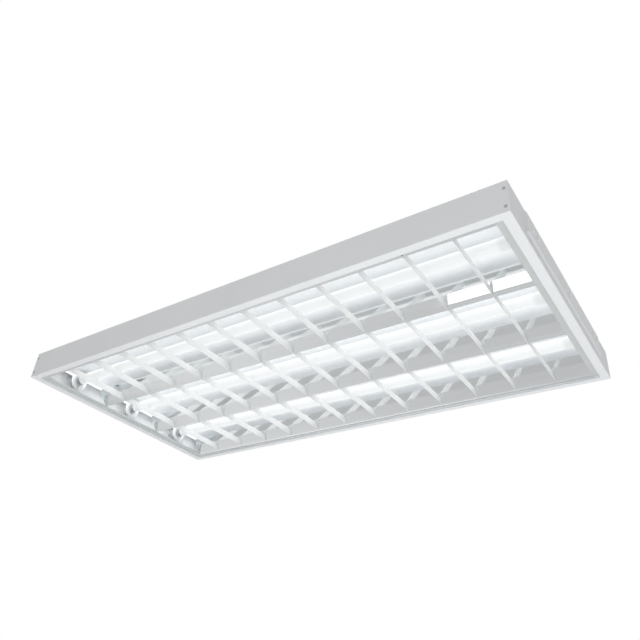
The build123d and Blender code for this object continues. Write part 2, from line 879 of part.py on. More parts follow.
with BuildPart() as gear_circuit_board:
    with BuildSketch(Plane.XY.offset(board_bottom)):
        with Locations((0, gear_y)):
            Rectangle(board_length, board_width)
    extrude(amount=board_sheet)
    # posts that stand on the cover
    with BuildSketch(Plane.XY.offset(cover_in)):
        with Locations((0, gear_y)):
            with GridLocations(board_length - 4 * post_radius, board_width - 2 * post_radius, 2, 2):
                Circle(post_radius)
    extrude(amount=board_above_cover)
    # two chokes, two capacitors lying along the board, and a row of small parts
    with Locations((0, gear_y, board_top)):
        with GridLocations(gear_length / 2, 1, 2, 1):
            Box(choke_length, choke_width, choke_height, align=(Align.CENTER, Align.CENTER, Align.MIN))
        with GridLocations(small_part_pitch, 1, small_part_count, 1):
            Box(small_part, small_part, small_part, align=(Align.CENTER, Align.MAX, Align.MIN))
    with BuildSketch(Plane.YZ):
        with Locations((gear_y + capacitor_radius, board_top + capacitor_radius - capacitor_sink)):
            Circle(capacitor_radius)
    extrude(amount=capacitor_length, both=True)
save(gear_circuit_board, "gear_circuit_board")

with BuildPart() as gear_screws:
    terminal_seat = top_in - terminal_height
    for screw_x, seat_z in (
        (-foot_centre, case_floor),
        (foot_centre, case_floor),
        (terminal_centre, terminal_seat),
    ):
        with Locations((screw_x, gear_y, seat_z)):
            Cylinder(screw_head_radius, screw_head, align=(Align.CENTER, Align.CENTER, Align.MAX))
            Cylinder(
                screw_radius,
                body_height - seat_z,
                align=(Align.CENTER, Align.CENTER, Align.MIN),
            )
        with Locations((screw_x, gear_y, seat_z - screw_head)):
            Box(2 * screw_head_radius, screw_slot, screw_slot, mode=Mode.SUBTRACT)
save(gear_screws, "gear_screws")

# ================================================================ mains connection
# Terminal block: three poles, with wire bores at both ends and clamp screws from below.
with BuildPart() as mains_terminal:
    with BuildSketch(Plane.XY.offset(top_in)):
        with Locations((terminal_centre, gear_y)):
            Rectangle(terminal_length, terminal_width)
            Circle(screw_radius + press_gap, mode=Mode.SUBTRACT)
    extrude(amount=-terminal_height)
    for x_side in ends:
        with BuildSketch(Plane.YZ.offset(terminal_centre + x_side * terminal_length / 2)):
            with Locations((gear_y, lead_z)):
                with GridLocations(lead_pitch, 1, 3, 1):
                    Circle(terminal_bore)
        extrude(amount=-x_side * 2 * lead_insert, mode=Mode.SUBTRACT)
    with BuildSketch(Plane.XY.offset(top_in - terminal_height)):
        with Locations((terminal_centre, gear_y)):
            with GridLocations(terminal_length - 2 * lead_insert, lead_pitch, 2, 3):
                Circle(clamp_radius)
    extrude(amount=terminal_height / 2, mode=Mode.SUBTRACT)
save(mains_terminal, "mains_terminal")

# Rubber grommet in the mains inlet, pressed in from inside and flush with the top.
with BuildPart() as cable_grommet:
    with BuildSketch(Plane.XY.offset(body_height)):
        with Locations((inlet_centre, gear_y)):
            Circle(inlet_radius - press_gap)
    extrude(amount=-steel)
    with BuildSketch(Plane.XY.offset(top_in)):
        with Locations((inlet_centre, gear_y)):
            Circle(inlet_radius + grommet_overlap)
    extrude(amount=-grommet_flange)
    with BuildSketch(Plane.XY.offset(body_height)):
        with Locations((inlet_centre, gear_y)):
            Circle(grommet_bore)
    extrude(amount=-(steel + grommet_flange), mode=Mode.SUBTRACT)
save(cable_grommet, "cable_grommet")

with BuildPart() as earth_screw:
    with BuildSketch(Plane.XY.offset(body_height)):
        with Locations((earth_centre, gear_y)):
            Circle(earth_radius)
    extrude(amount=-earth_stud)
    with BuildSketch(Plane.XY.offset(top_in)):
        with Locations((earth_centre, gear_y)):
            Circle(earth_washer_radius)
    extrude(amount=-steel)
    with BuildSketch(Plane.XY.offset(top_in - steel)):
        with Locations((earth_centre, gear_y)):
            RegularPolygon(earth_nut_radius, 6)
    extrude(amount=-earth_nut)
save(earth_screw, "earth_screw")

# ================================================================ internal leads
# Three leads from the terminal block into the gear.
with BuildPart() as mains_leads:
    lead_start = gear_end - gear_sheet - lead_insert / 2
    lead_end = terminal_centre - terminal_length / 2 + lead_insert
    with BuildSketch(Plane.YZ.offset(lead_start)):
        with Locations((gear_y, lead_z)):
            with GridLocations(lead_pitch, 1, 3, 1):
                Circle(lead_radius)
    extrude(amount=lead_end - lead_start)
save(mains_leads, "mains_leads")

# Loom from the gear to the lampholders: along the near side under the top, through the notch
# in the cover, then across behind it on top of the lampholders, with a tap into each.
loom_start = gear_end - gear_sheet - lead_insert / 2
loom_x = holder_face + loom_behind_cover
with BuildPart() as wiring_loom:
    with BuildLine() as loom_route:
        FilletPolyline(
            (loom_start, loom_y, loom_z),
            (loom_x, loom_y, loom_z),
            (loom_x, lamp_spacing + holder_radius, loom_z),
            radius=loom_bend,
        )
    with BuildSketch(Plane(origin=loom_route.line @ 0, z_dir=loom_route.line % 0)):
        Circle(loom_radius)
    sweep(path=loom_route.line)
    with BuildSketch(Plane.XY.offset(holder_top)):
        with Locations((loom_x, 0)):
            with GridLocations(1, lamp_spacing, 1, len(lamp_rows)):
                Circle(tap_radius)
    extrude(amount=loom_z - holder_top)
save(wiring_loom, "wiring_loom_right")
save_mirrored(wiring_loom, "wiring_loom_left")

# Clips that hold the loom up to the top.
with BuildPart() as loom_clips:
    clip_half = loom_radius + clip_gap + clip_wall
    first_clip = gear_end + gear_foot + clip_from_foot
    last_clip = holder_face - clip_from_cover
    clip_pitch = (last_clip - first_clip) / (clip_count - 1)
    for x_side in ends:
        for number in range(clip_count):
            clip_x = x_side * (first_clip + number * clip_pitch)
            with BuildSketch(Plane.YZ.offset(clip_x)):
                with Locations((loom_y, loom_z - clip_half)):
                    Rectangle(2 * clip_half, top_in - loom_z + clip_half, align=(Align.CENTER, Align.MIN))
                with Locations((loom_y, loom_z)):
                    Circle(loom_radius + clip_gap, mode=Mode.SUBTRACT)
            extrude(amount=clip_width / 2, both=True)
save(loom_clips, "loom_clips")
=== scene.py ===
from math import atan2, cos, pi, sin

import bmesh
import bpy
from mathutils import Matrix, Vector


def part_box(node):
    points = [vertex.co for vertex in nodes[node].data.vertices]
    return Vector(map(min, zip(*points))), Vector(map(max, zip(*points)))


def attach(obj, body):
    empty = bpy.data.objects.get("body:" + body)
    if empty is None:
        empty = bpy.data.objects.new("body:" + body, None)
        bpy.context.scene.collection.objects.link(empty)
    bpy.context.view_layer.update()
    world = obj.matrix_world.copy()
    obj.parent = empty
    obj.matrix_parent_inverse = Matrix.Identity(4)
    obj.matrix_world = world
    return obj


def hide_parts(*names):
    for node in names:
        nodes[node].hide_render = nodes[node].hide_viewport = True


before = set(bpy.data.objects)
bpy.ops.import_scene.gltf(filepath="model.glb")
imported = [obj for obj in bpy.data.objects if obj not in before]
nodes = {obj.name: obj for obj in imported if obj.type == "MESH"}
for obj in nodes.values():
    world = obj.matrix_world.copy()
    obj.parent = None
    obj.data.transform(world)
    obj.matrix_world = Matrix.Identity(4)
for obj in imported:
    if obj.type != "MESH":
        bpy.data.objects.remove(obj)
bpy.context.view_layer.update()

# ---------------------------------------------------------------- housing
# The tray and the two end plates are 0.8 mm steel, cut, bent and riveted, then powder coated
# white as one box. Polyester powder melts to a satin skin with a very fine orange peel, and lies
# a little thinner, so a little greyer, in broad soft patches. All sizes are in metres.
COAT_WHITE = "#E8EAEC"
COAT_THIN = "#E1E4E6"
COAT_PATCH = 0.160
COAT_PEEL = 0.0022
COAT_PEEL_HEIGHT = 0.0002
COAT_PEEL_STRENGTH = 0.12
COAT_ROUGHNESS = 0.42
COAT_ROUGHNESS_DRIFT = 0.05
COAT_IOR = 1.5


def linear(code):
    """An sRGB hex colour as the linear colour that a shader takes."""
    parts = [int(code[i:i + 2], 16) / 255 for i in (1, 3, 5)]
    return [p / 12.92 if p <= 0.04045 else ((p + 0.055) / 1.055) ** 2.4 for p in parts] + [1.0]


def add_node(tree, kind, links=None, **settings):
    """Add a node with its settings. A link is a value, or the output that feeds the socket."""
    node = tree.nodes.new(kind)
    for name, value in settings.items():
        setattr(node, name, value)
    for name, value in (links or {}).items():
        if isinstance(value, bpy.types.NodeSocket):
            tree.links.new(value, node.inputs[name])
        else:
            node.inputs[name].default_value = value
    return node


def start_material(name):
    """An empty material: itself, its tree, its place on the object in metres, and its output."""
    material = bpy.data.materials.new(name)
    material.use_nodes = True
    tree = material.node_tree
    tree.nodes.clear()
    place = add_node(tree, "ShaderNodeTexCoord").outputs["Object"]
    return material, tree, place, add_node(tree, "ShaderNodeOutputMaterial")


def dress(name, material):
    """Give a node of the frame its finish."""
    mesh = nodes[name].data
    mesh.materials.clear()
    mesh.materials.append(material)


def powder_coat(name, full, thin):
    """Powder coat: broad soft patches of tone, and orange peel in the gloss."""
    material, tree, place, output = start_material(name)
    patch = add_node(
        tree, "ShaderNodeTexNoise", {"Vector": place, "Scale": 1 / COAT_PATCH, "Detail": 3.0}
    )
    tone = add_node(
        tree,
        "ShaderNodeMix",
        {0: patch.outputs["Fac"], 6: linear(full), 7: linear(thin)},
        data_type="RGBA",
    )
    peel = add_node(
        tree, "ShaderNodeTexNoise", {"Vector": place, "Scale": 1 / COAT_PEEL, "Detail": 1.0}
    )
    bump = add_node(
        tree,
        "ShaderNodeBump",
        {
            "Height": peel.outputs["Fac"],
            "Strength": COAT_PEEL_STRENGTH,
            "Distance": COAT_PEEL_HEIGHT,
        },
    )
    gloss = add_node(
        tree,
        "ShaderNodeMapRange",
        {
            "Value": patch.outputs["Fac"],
            "To Min": COAT_ROUGHNESS - COAT_ROUGHNESS_DRIFT,
            "To Max": COAT_ROUGHNESS + COAT_ROUGHNESS_DRIFT,
        },
    )
    shader = add_node(
        tree,
        "ShaderNodeBsdfPrincipled",
        {
            "Base Color": tone.outputs[2],
            "Roughness": gloss.outputs["Result"],
            "Normal": bump.outputs["Normal"],
            "IOR": COAT_IOR,
        },
    )
    tree.links.new(shader.outputs[0], output.inputs[0])
    return material


housing_coat = powder_coat("white_powder_coat", COAT_WHITE, COAT_THIN)
for name in ("housing_tray", "end_plate_left", "end_plate_right"):
    dress(name, housing_coat)

# ---------------------------------------------------------------- corner rivets
# Eight blind rivets of bare aluminium, pulled after coating, with a dull fine grain. The
# zinc-plated steel mandrel snaps off inside the head and leaves a ragged stub in the bore.
RIVET_METAL = "#B4B6B8"
RIVET_DULL = "#9C9FA2"
RIVET_GRAIN = 0.0009
RIVET_ROUGHNESS = 0.38
RIVET_HEAD_RADIUS = 0.0032
ZINC_BRIGHT = "#B9BCC0"
ZINC_DULL = "#8E9298"
ZINC_SPANGLE = 0.0012
ZINC_CLOUD = 0.006
ZINC_ROUGHNESS = 0.33
MANDREL_RADIUS = 0.00088
MANDREL_TIP = 0.8
MANDREL_LENGTH = 0.0030
MANDREL_SUNK = 0.0004
MANDREL_SIDES = 14
MANDREL_TEAR = 0.00012


def mottled_finish(name, colour, shade, grain, roughness, metallic=0.0, detail=2.0):
    """A finish that drifts from one tone to another, with a grain of a size in metres."""
    material, tree, place, output = start_material(name)
    mottle = add_node(
        tree, "ShaderNodeTexNoise", {"Vector": place, "Scale": 1 / grain, "Detail": detail}
    )
    tone = add_node(
        tree,
        "ShaderNodeMix",
        {0: mottle.outputs["Fac"], 6: linear(colour), 7: linear(shade)},
        data_type="RGBA",
    )
    shader = add_node(
        tree,
        "ShaderNodeBsdfPrincipled",
        {"Base Color": tone.outputs[2], "Metallic": metallic, "Roughness": roughness},
    )
    tree.links.new(shader.outputs[0], output.inputs[0])
    return material


def zinc_plate(name):
    """Bright zinc plate on steel: fine crystalline spangle, a little cloudy."""
    material, tree, place, output = start_material(name)
    spangle = add_node(tree, "ShaderNodeTexVoronoi", {"Vector": place, "Scale": 1 / ZINC_SPANGLE})
    cloud = add_node(
        tree, "ShaderNodeTexNoise", {"Vector": place, "Scale": 1 / ZINC_CLOUD, "Detail": 2.0}
    )
    mottle = add_node(
        tree,
        "ShaderNodeMath",
        {0: spangle.outputs["Distance"], 1: cloud.outputs["Fac"]},
        operation="MULTIPLY",
    )
    tone = add_node(
        tree,
        "ShaderNodeMix",
        {0: mottle.outputs[0], 6: linear(ZINC_BRIGHT), 7: linear(ZINC_DULL)},
        data_type="RGBA",
    )
    shader = add_node(
        tree,
        "ShaderNodeBsdfPrincipled",
        {"Base Color": tone.outputs[2], "Metallic": 1.0, "Roughness": ZINC_ROUGHNESS},
    )
    tree.links.new(shader.outputs[0], output.inputs[0])
    return material


def make_piece(name, mesh_maker, material):
    """Link a finished bmesh as a piece whose place is in its mesh."""
    mesh = bpy.data.meshes.new(name)
    mesh_maker.to_mesh(mesh)
    mesh_maker.free()
    mesh.materials.append(material)
    piece = bpy.data.objects.new(name, mesh)
    bpy.context.scene.collection.objects.link(piece)
    return piece


rivet_metal = mottled_finish(
    "bare_rivet_aluminium", RIVET_METAL, RIVET_DULL, RIVET_GRAIN, RIVET_ROUGHNESS, metallic=1.0
)
dress("corner_rivets", rivet_metal)

zinc_steel = zinc_plate("zinc_plated_steel")
low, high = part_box("corner_rivets")
stubs = bmesh.new()
for x in (low.x + RIVET_HEAD_RADIUS, high.x - RIVET_HEAD_RADIUS):
    for z in (low.z + RIVET_HEAD_RADIUS, high.z - RIVET_HEAD_RADIUS):
        for side in (-1, 1):
            outer = side * (high.y - MANDREL_SUNK)
            middle = outer - side * MANDREL_LENGTH / 2
            seat = Matrix.Translation((x, middle, z)) @ Matrix.Rotation(-side * pi / 2, 4, "X")
            made = bmesh.ops.create_cone(
                stubs,
                cap_ends=True,
                segments=MANDREL_SIDES,
                radius1=MANDREL_RADIUS,
                radius2=MANDREL_RADIUS * MANDREL_TIP,
                depth=MANDREL_LENGTH,
                matrix=seat,
            )
            # the snapped face is torn: every third point stays, the others sink a little
            snapped = [v for v in made["verts"] if abs(v.co.y) > abs(middle)]
            for number, vertex in enumerate(snapped):
                vertex.co.y -= side * MANDREL_TEAR * (number % 3)
bmesh.ops.recalc_face_normals(stubs, faces=stubs.faces)
stubs = make_piece("rivet_mandrels", stubs, zinc_steel)
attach(stubs, "housing")

# ---------------------------------------------------------------- lampholder covers
# Bent strips of the same coated steel that hide the lampholders' backs, with a tongue at each
# lamp. They are coated with the box, so they have its finish.
for name in ("lampholder_cover_left", "lampholder_cover_right"):
    dress(name, housing_coat)

# ---------------------------------------------------------------- lampholders
# Push-through holders and rotors moulded in white polycarbonate: a smooth semi-gloss skin that
# lets a little light in, so its edges look soft. The mould's spark texture is about 0.1 mm, and
# is drawn at 0.6 mm to show.
HOLDER_WHITE = "#F2F2F0"
HOLDER_SHADE = "#EAEBE8"
HOLDER_FLOW = 0.012
HOLDER_SPARK = 0.0006
HOLDER_SPARK_HEIGHT = 0.0001
HOLDER_SPARK_STRENGTH = 0.08
HOLDER_ROUGHNESS = 0.32
HOLDER_IOR = 1.58
HOLDER_LIGHT_INSIDE = 0.15
HOLDER_LIGHT_DEPTH = 0.002

holder_plastic, tree, place, output = start_material("moulded_polycarbonate")
flow = add_node(
    tree, "ShaderNodeTexNoise", {"Vector": place, "Scale": 1 / HOLDER_FLOW, "Detail": 2.0}
)
tone = add_node(
    tree,
    "ShaderNodeMix",
    {0: flow.outputs["Fac"], 6: linear(HOLDER_WHITE), 7: linear(HOLDER_SHADE)},
    data_type="RGBA",
)
spark = add_node(
    tree, "ShaderNodeTexNoise", {"Vector": place, "Scale": 1 / HOLDER_SPARK, "Detail": 1.0}
)
bump = add_node(
    tree,
    "ShaderNodeBump",
    {
        "Height": spark.outputs["Fac"],
        "Strength": HOLDER_SPARK_STRENGTH,
        "Distance": HOLDER_SPARK_HEIGHT,
    },
)
shader = add_node(
    tree,
    "ShaderNodeBsdfPrincipled",
    {
        "Base Color": tone.outputs[2],
        "Roughness": HOLDER_ROUGHNESS,
        "IOR": HOLDER_IOR,
        "Subsurface Weight": HOLDER_LIGHT_INSIDE,
        "Subsurface Scale": HOLDER_LIGHT_DEPTH,
        "Normal": bump.outputs["Normal"],
    },
)
tree.links.new(shader.outputs[0], output.inputs[0])
lamp_numbers = (1, 2, 3)
for number in lamp_numbers:
    dress(f"lampholder_left_{number}", holder_plastic)
    dress(f"lampholder_right_{number}", holder_plastic)
    dress(f"lamp_{number}_rotors", holder_plastic)

# ---------------------------------------------------------------- contact springs
# Leaves cut from rolled brass strip and pressed into the holders, bright with faint lines along
# the strip. The lamps' pins are the same metal. Lines are given as how many go to a metre on
# each axis.
BRASS = "#D9B36A"
BRASS_DARK = "#B98F46"
BRASS_LINES = (300.0, 5000.0, 5000.0)
BRASS_ROUGHNESS = 0.28


def lined_metal(name, colour, shade, lines_per_metre, roughness, metallic=1.0):
    """Rolled, drawn or brushed metal: one tone with faint lines of another."""
    material, tree, place, output = start_material(name)
    stretch = add_node(tree, "ShaderNodeMapping", {"Vector": place, "Scale": lines_per_metre})
    lines = add_node(
        tree, "ShaderNodeTexNoise", {"Vector": stretch.outputs[0], "Scale": 1.0, "Detail": 2.0}
    )
    tone = add_node(
        tree,
        "ShaderNodeMix",
        {0: lines.outputs["Fac"], 6: linear(colour), 7: linear(shade)},
        data_type="RGBA",
    )
    shader = add_node(
        tree,
        "ShaderNodeBsdfPrincipled",
        {"Base Color": tone.outputs[2], "Metallic": metallic, "Roughness": roughness},
    )
    tree.links.new(shader.outputs[0], output.inputs[0])
    return material


brass = lined_metal("rolled_brass", BRASS, BRASS_DARK, BRASS_LINES, BRASS_ROUGHNESS)
dress("lamp_contacts", brass)
for number in lamp_numbers:
    dress(f"lamp_{number}_pins", brass)

# ---------------------------------------------------------------- lamp tubes
# Soda-lime glass tube with a white phosphor coat inside, lit. The coat glows evenly and drops
# a little over the last 40 mm, where the cathodes sit and the glass greys. TUBE_COAT is what it
# sends back of the room's light, and TUBE_WHITE and TUBE_END are its own light.
TUBE_COAT = "#9A9D9E"
TUBE_WHITE = "#F6F8F7"
TUBE_END = "#E0E3E3"
TUBE_GLOW = 0.615
TUBE_FADE_START = 0.042
TUBE_FADE_END = 0.030
TUBE_CLOUD = 0.050
TUBE_CLOUD_SHARE = 0.06
GLASS_ROUGHNESS = 0.12
GLASS_IOR = 1.52

tube_glass, tree, place, output = start_material("phosphor_coated_glass")
low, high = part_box("lamp_1_tube")
along = add_node(tree, "ShaderNodeSeparateXYZ", {"Vector": place})
from_middle = add_node(tree, "ShaderNodeMath", {0: along.outputs["X"]}, operation="ABSOLUTE")
fade = add_node(
    tree,
    "ShaderNodeMapRange",
    {
        "Value": from_middle.outputs[0],
        "From Min": high.x - TUBE_FADE_START,
        "From Max": high.x - TUBE_FADE_END,
    },
    interpolation_type="SMOOTHSTEP",
)
cloud = add_node(
    tree, "ShaderNodeTexNoise", {"Vector": place, "Scale": 1 / TUBE_CLOUD, "Detail": 2.0}
)
uneven = add_node(
    tree,
    "ShaderNodeMath",
    {0: cloud.outputs["Fac"], 1: TUBE_CLOUD_SHARE, 2: fade.outputs["Result"]},
    operation="MULTIPLY_ADD",
    use_clamp=True,
)
tone = add_node(
    tree,
    "ShaderNodeMix",
    {0: uneven.outputs[0], 6: linear(TUBE_WHITE), 7: linear(TUBE_END)},
    data_type="RGBA",
)
shader = add_node(
    tree,
    "ShaderNodeBsdfPrincipled",
    {
        "Base Color": linear(TUBE_COAT),
        "Roughness": GLASS_ROUGHNESS,
        "IOR": GLASS_IOR,
        "Emission Color": tone.outputs[2],
        "Emission Strength": TUBE_GLOW,
    },
)
tree.links.new(shader.outputs[0], output.inputs[0])
for number in lamp_numbers:
    dress(f"lamp_{number}_tube", tube_glass)

# ---------------------------------------------------------------- lamp caps
# Deep-drawn aluminium cups cemented on the tube and crimped in a ring of dimples. The end
# carries a disc of cream phenolic that holds the pins apart.
CAP_METAL = "#C9CBCC"
CAP_DULL = "#B2B5B7"
CAP_LINES = (60.0, 2500.0, 2500.0)
CAP_ROUGHNESS = 0.27
CAP_LENGTH = 0.015
CAP_RADIUS = 0.0130
CAP_WALL = 0.0007
CAP_CORNER = 0.0016
CAP_CORNER_STEPS = 5
CAP_SIDES = 48
LIP_LENGTH = 0.0004
LIP_DROP = 0.0002
GROOVE_FROM_RIM = (0.0026, 0.0032, 0.0040, 0.0046)
GROOVE_DEPTH = 0.00035
GROOVE_MIDDLE = 0.0036
GROOVE_REACH = 0.0006
DIMPLE_EVERY = 4
DIMPLE_DEPTH = 0.00025
DIMPLE_DEEPEST = 0.0006
PHENOLIC = "#CDBFA2"
PHENOLIC_DARK = "#B9A988"
PHENOLIC_SPECK = 0.0005
PHENOLIC_ROUGHNESS = 0.5
DISC_RADIUS = 0.0098
DISC_THICKNESS = 0.0016
DISC_SUNK = 0.0005
DISC_EDGE = 0.0003
DISC_SEAT_RISE = 0.0006
DISC_SEAT_DEPTH = 0.0020
SHARP_EDGE = 1.0  # radians
WELD = 0.00001

cap_metal = lined_metal("drawn_aluminium", CAP_METAL, CAP_DULL, CAP_LINES, CAP_ROUGHNESS)
phenolic = mottled_finish(
    "moulded_phenolic", PHENOLIC, PHENOLIC_DARK, PHENOLIC_SPECK, PHENOLIC_ROUGHNESS
)

for number in lamp_numbers:
    low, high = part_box(f"lamp_{number}_caps")
    axis_y = (low.y + high.y) / 2
    axis_z = (low.z + high.z) / 2
    face = high.x
    rim = face - CAP_LENGTH
    groove_start, groove_in, groove_out, groove_end = (rim + reach for reach in GROOVE_FROM_RIM)
    corner_x = face - CAP_CORNER
    corner_radius = CAP_RADIUS - CAP_CORNER
    caps = bmesh.new()
    discs = bmesh.new()
    for side in (-1, 1):
        # outline of the cup from the open rim round the corner to the disc and back inside
        outline = [
            (rim, CAP_RADIUS - CAP_WALL),
            (rim, CAP_RADIUS - LIP_DROP),
            (rim + LIP_LENGTH, CAP_RADIUS),
            (groove_start, CAP_RADIUS),
            (groove_in, CAP_RADIUS - GROOVE_DEPTH),
            (groove_out, CAP_RADIUS - GROOVE_DEPTH),
            (groove_end, CAP_RADIUS),
        ]
        for step in range(CAP_CORNER_STEPS + 1):
            turn = step / CAP_CORNER_STEPS * pi / 2
            outline.append(
                (corner_x + CAP_CORNER * sin(turn), corner_radius + CAP_CORNER * cos(turn))
            )
        outline += [
            (face, DISC_RADIUS + DISC_SEAT_RISE),
            (face - DISC_SUNK, DISC_RADIUS),
            (face - DISC_SEAT_DEPTH, DISC_RADIUS),
            (face - DISC_SEAT_DEPTH, CAP_RADIUS - CAP_WALL),
        ]
        loop = [caps.verts.new((side * x, axis_y, axis_z + r)) for x, r in outline]
        edges = [caps.edges.new((a, b)) for a, b in zip(loop, loop[1:] + loop[:1])]
        bmesh.ops.spin(
            caps,
            geom=loop + edges,
            cent=(0, axis_y, axis_z),
            axis=(1, 0, 0),
            angle=2 * pi,
            steps=CAP_SIDES,
            use_merge=True,
        )
        # crimp dimples: every fourth point round the groove is pushed in, unless it is deep enough
        for vertex in caps.verts:
            reach = Vector((vertex.co.y - axis_y, vertex.co.z - axis_z))
            in_groove = abs(abs(vertex.co.x) - rim - GROOVE_MIDDLE) < GROOVE_REACH
            still_shallow = reach.length > CAP_RADIUS - DIMPLE_DEEPEST
            step = round(atan2(reach.y, reach.x) / (2 * pi) * CAP_SIDES)
            if in_groove and still_shallow and step % DIMPLE_EVERY == 0:
                vertex.co.y -= reach.x / reach.length * DIMPLE_DEPTH
                vertex.co.z -= reach.y / reach.length * DIMPLE_DEPTH
        seat = Matrix.Translation((side * (face - DISC_SUNK - DISC_THICKNESS / 2), axis_y, axis_z))
        bmesh.ops.create_cone(
            discs,
            cap_ends=True,
            segments=CAP_SIDES,
            radius1=DISC_RADIUS,
            radius2=DISC_RADIUS,
            depth=DISC_THICKNESS,
            matrix=seat @ Matrix.Rotation(pi / 2, 4, "Y"),
        )
        sharp = [e for e in discs.edges if e.is_manifold and e.calc_face_angle(0) > SHARP_EDGE]
        bmesh.ops.bevel(
            discs,
            geom=sharp,
            offset=DISC_EDGE,
            offset_type="OFFSET",
            affect="EDGES",
            segments=2,
            profile=0.5,
            material=-1,
        )
    bmesh.ops.remove_doubles(caps, verts=caps.verts, dist=WELD)
    bmesh.ops.recalc_face_normals(caps, faces=caps.faces)
    bmesh.ops.recalc_face_normals(discs, faces=discs.faces)
    for cap_face in caps.faces:
        cap_face.smooth = True
    cap_piece = make_piece(f"lamp_{number}_drawn_caps", caps, cap_metal)
    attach(cap_piece, f"lamp_{number}")
    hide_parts(f"lamp_{number}_caps")
    disc_piece = make_piece(f"lamp_{number}_pin_discs", discs, phenolic)
    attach(disc_piece, f"lamp_{number}")

# ---------------------------------------------------------------- mirrors
# Side and V mirrors of anodised high-purity aluminium, folded from bright strip. The face is
# close to a true mirror, slightly wavy, with very faint rolling lines along the strip that
# soften what it shows. The real lines are under 0.2 mm apart, and are drawn at 1.6 mm to show.
MIRROR_METAL = "#EFF1F2"
MIRROR_SHADE = "#E5E8E9"
MIRROR_ROUGHNESS = (0.05, 0.10)
ROLL_PITCH = 0.0016
ROLL_LENGTH = 0.200
MIRROR_WAVE = 0.070
MIRROR_WAVE_HEIGHT = 0.0006
MIRROR_WAVE_STRENGTH = 0.25

mirror_metal, tree, place, output = start_material("bright_anodised_aluminium")
stretch = add_node(
    tree,
    "ShaderNodeMapping",
    {"Vector": place, "Scale": (1 / ROLL_LENGTH, 1 / ROLL_PITCH, 1 / ROLL_PITCH)},
)
rolled = add_node(
    tree, "ShaderNodeTexNoise", {"Vector": stretch.outputs[0], "Scale": 1.0, "Detail": 2.0}
)
tone = add_node(
    tree,
    "ShaderNodeMix",
    {0: rolled.outputs["Fac"], 6: linear(MIRROR_METAL), 7: linear(MIRROR_SHADE)},
    data_type="RGBA",
)
gloss = add_node(
    tree,
    "ShaderNodeMapRange",
    {
        "Value": rolled.outputs["Fac"],
        "To Min": MIRROR_ROUGHNESS[0],
        "To Max": MIRROR_ROUGHNESS[1],
    },
)
wave = add_node(
    tree, "ShaderNodeTexNoise", {"Vector": place, "Scale": 1 / MIRROR_WAVE, "Detail": 0.0}
)
bump = add_node(
    tree,
    "ShaderNodeBump",
    {
        "Height": wave.outputs["Fac"],
        "Strength": MIRROR_WAVE_STRENGTH,
        "Distance": MIRROR_WAVE_HEIGHT,
    },
)
shader = add_node(
    tree,
    "ShaderNodeBsdfPrincipled",
    {
        "Base Color": tone.outputs[2],
        "Metallic": 1.0,
        "Roughness": gloss.outputs["Result"],
        "Normal": bump.outputs["Normal"],
    },
)
tree.links.new(shader.outputs[0], output.inputs[0])
for name in ("side_mirror_near", "side_mirror_far", "v_mirror_1", "v_mirror_2"):
    dress(name, mirror_metal)

# ---------------------------------------------------------------- end rails
# Bent aluminium strips that tie the mirrors' ends together, brushed along their length. The
# thick satin anodic film is milky, so they read less than fully metallic.
RAIL_METAL = "#DCE0DF"
RAIL_SHADE = "#D2D7D6"
RAIL_LINES = (2500.0, 25.0, 2500.0)
RAIL_ROUGHNESS = 0.42
RAIL_METALLIC = 0.6

rail_metal = lined_metal(
    "satin_anodised_aluminium", RAIL_METAL, RAIL_SHADE, RAIL_LINES, RAIL_ROUGHNESS, RAIL_METALLIC
)
for name in ("louvre_rail_left", "louvre_rail_right"):
    dress(name, rail_metal)

# ---------------------------------------------------------------- cross blades
# Twelve strips of 0.6 mm aluminium, stoved white with a satin finish and pushed through slots
# in the mirrors, which hold them.
BLADE_WHITE = "#F2F3F2"
BLADE_THIN = "#ECEEEE"
BLADE_COUNT = 12

blade_coat = powder_coat("stoved_white_blade", BLADE_WHITE, BLADE_THIN)
for number in range(1, BLADE_COUNT + 1):
    dress(f"cross_blade_{number:02d}", blade_coat)

# ---------------------------------------------------------------- hinges
# Zinc-plated steel: brackets on the far side wall, pins held in their ears, and knuckles rolled
# on the louvre's lip. The latches' guides and the gear's screws are plated the same way.
for name in ("hinge_brackets", "hinge_pins", "louvre_knuckles", "latch_guides", "gear_screws"):
    dress(name, zinc_steel)

# ---------------------------------------------------------------- latches
# Slides moulded in grey nylon, matt with a faint flow mottle, which run in the guides on the
# near lip. The clips that hold the looms are the same nylon.
NYLON_GREY = "#C4C7C9"
NYLON_SHADE = "#B7BABD"
NYLON_FLOW = 0.004
NYLON_ROUGHNESS = 0.5

latch_nylon = mottled_finish(
    "moulded_grey_nylon", NYLON_GREY, NYLON_SHADE, NYLON_FLOW, NYLON_ROUGHNESS
)
for name in ("latch_left", "latch_right", "loom_clips"):
    dress(name, latch_nylon)

# ---------------------------------------------------------------- control gear
# Case and cover of pre-coated white sheet, folded shut round the circuit board and screwed to
# the top. The board is glass-epoxy, with a green solder mask and copper tracks under it.
GEAR_WHITE = "#EDEFEF"
GEAR_THIN = "#E6E9EA"
MASK_GREEN = "#1B5A32"
MASK_PALE = "#20683A"
MASK_OVER_TRACK = "#2F8A50"
TRACKS_PER_METRE = 60.0
TRACK_WIDTH = 0.03
BOARD_ROUGHNESS = 0.35

gear_coat = powder_coat("pre_coated_gear_sheet", GEAR_WHITE, GEAR_THIN)
for name in ("gear_case", "gear_cover"):
    dress(name, gear_coat)

